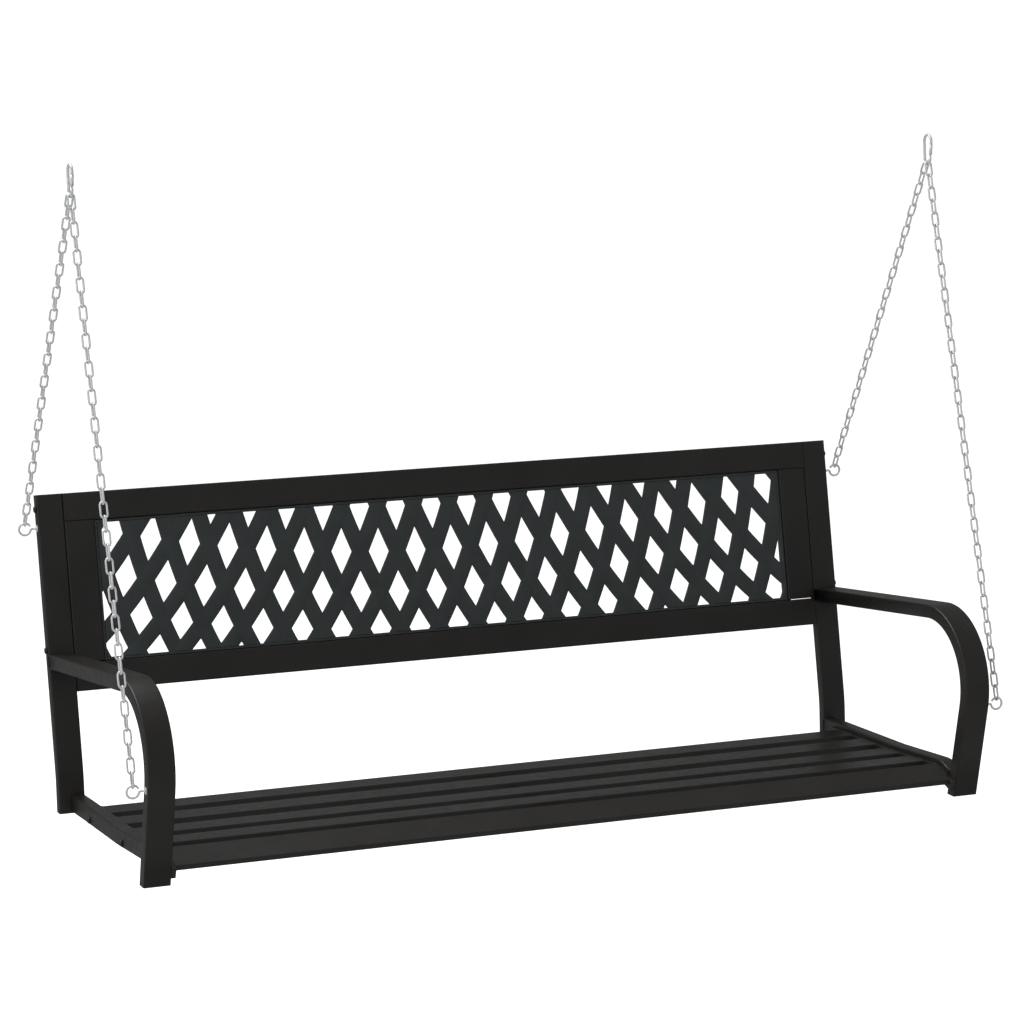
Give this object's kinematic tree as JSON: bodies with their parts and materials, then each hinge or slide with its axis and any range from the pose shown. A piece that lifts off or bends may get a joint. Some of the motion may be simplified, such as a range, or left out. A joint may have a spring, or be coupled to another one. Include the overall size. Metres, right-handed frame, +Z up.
{
  "type": "porch swing",
  "caption": "Hanging steel bench with tube armrests, flat seat slats and a plastic diamond-lattice back, hung by chains from a snap hook at each end.",
  "frame": {"origin": "middle of the line through the inside tops of the two snap hooks, where the swing hangs", "axes": "+X along the bench to its right end as seen from the front, +Y to the back of the bench, +Z up"},
  "size_m": [1.619, 0.6642, 1.1591],
  "materials": {
    "painted_frame": "satin powder coat",
    "lattice_plastic": "fine grained",
    "cap_plastic": "matte",
    "black_bolt": "black plated",
    "zinc_steel": "bright zinc plated"
  },
  "bodies": {
    "hooks": {"snap_hook_left": "zinc_steel", "snap_hook_right": "zinc_steel"},
    "gate_left": {"gate_left": "zinc_steel", "gate_pin_left": "zinc_steel", "gate_spring_left": "zinc_steel"},
    "gate_right": {"gate_right": "zinc_steel", "gate_pin_right": "zinc_steel", "gate_spring_right": "zinc_steel"},
    "top_links": {"top_links_left": "zinc_steel", "top_links_right": "zinc_steel"},
    "chain_front_left": {"chain_front_left": "zinc_steel"},
    "chain_front_right": {"chain_front_right": "zinc_steel"},
    "chain_rear_left": {"chain_rear_left": "zinc_steel"},
    "chain_rear_right": {"chain_rear_right": "zinc_steel"},
    "bench": {"armrest_left": "painted_frame", "armrest_right": "painted_frame", "back_bolts_left": "black_bolt", "back_bolts_right": "black_bolt", "back_lattice": "lattice_plastic", "back_stile_left": "painted_frame", "back_stile_right": "painted_frame", "bottom_rail": "painted_frame", "eye_hook_front_left": "zinc_steel", "eye_hook_front_right": "zinc_steel", "eye_hook_rear_left": "zinc_steel", "eye_hook_rear_right": "zinc_steel", "eye_inserts": "zinc_steel", "front_slat": "painted_frame", "leg_foot_caps": "cap_plastic", "panel_screws": "black_bolt", "post_foot_caps": "cap_plastic", "post_left": "painted_frame", "post_right": "painted_frame", "post_top_caps": "cap_plastic", "rail_end_plates": "painted_frame", "seat_bolts_left": "black_bolt", "seat_bolts_right": "black_bolt", "seat_centre_bar": "painted_frame", "seat_end_bar_left": "painted_frame", "seat_end_bar_right": "painted_frame", "seat_rail_left": "painted_frame", "seat_rail_right": "painted_frame", "seat_slat_1": "painted_frame", "seat_slat_2": "painted_frame", "seat_slat_3": "painted_frame", "seat_slat_4": "painted_frame", "top_rail": "painted_frame"}
  },
  "joints": [
    {"name": "gate_left_open", "type": "hinge", "parent": "hooks", "child": "gate_left", "pos_m": [-0.797, -0.01052, -0.031], "axis": [-1, 0, 0], "range_deg": [0, 28], "stiffness_Nm_per_rad": 0.01, "springref_deg": -57.3},
    {"name": "gate_right_open", "type": "hinge", "parent": "hooks", "child": "gate_right", "pos_m": [0.797, -0.01052, -0.031], "axis": [-1, 0, 0], "range_deg": [0, 28], "stiffness_Nm_per_rad": 0.01, "springref_deg": -57.3},
    {"name": "swing", "type": "hinge", "parent": "hooks", "child": "top_links", "pos_m": [0, 0, -0.041], "axis": [1, 0, 0], "range_deg": [-25, 25]},
    {"name": "sway_front_left", "type": "hinge", "parent": "top_links", "child": "chain_front_left", "pos_m": [-0.797, -0.0077, -0.06578], "axis": [0, 0.8854, 0.4648], "range_deg": [-8.5, 8.5]},
    {"name": "sway_front_right", "type": "hinge", "parent": "top_links", "child": "chain_front_right", "pos_m": [0.797, -0.0077, -0.06578], "axis": [0, 0.8854, 0.4648], "range_deg": [-8.5, 8.5]},
    {"name": "sway_rear_left", "type": "hinge", "parent": "top_links", "child": "chain_rear_left", "pos_m": [-0.797, 0.01255, -0.06371], "axis": [0, 0.8854, 0.4648], "range_deg": [-8.5, 8.5]},
    {"name": "sway_rear_right", "type": "hinge", "parent": "top_links", "child": "chain_rear_right", "pos_m": [0.797, 0.01255, -0.06371], "axis": [0, 0.8854, 0.4648], "range_deg": [-8.5, 8.5]},
    {"name": "bench_level", "type": "hinge", "parent": "chain_rear_left", "child": "bench", "pos_m": [-0.797, 0.33804, -0.6631], "axis": [0, 0.8854, 0.4648], "range_deg": [-8, 8]}
  ],
  "couplings": [
    {"joint": "sway_front_left", "follows": "bench_level", "ratio": -1},
    {"joint": "sway_front_right", "follows": "bench_level", "ratio": -1},
    {"joint": "sway_rear_left", "follows": "bench_level", "ratio": -1},
    {"joint": "sway_rear_right", "follows": "bench_level", "ratio": -1}
  ]
}
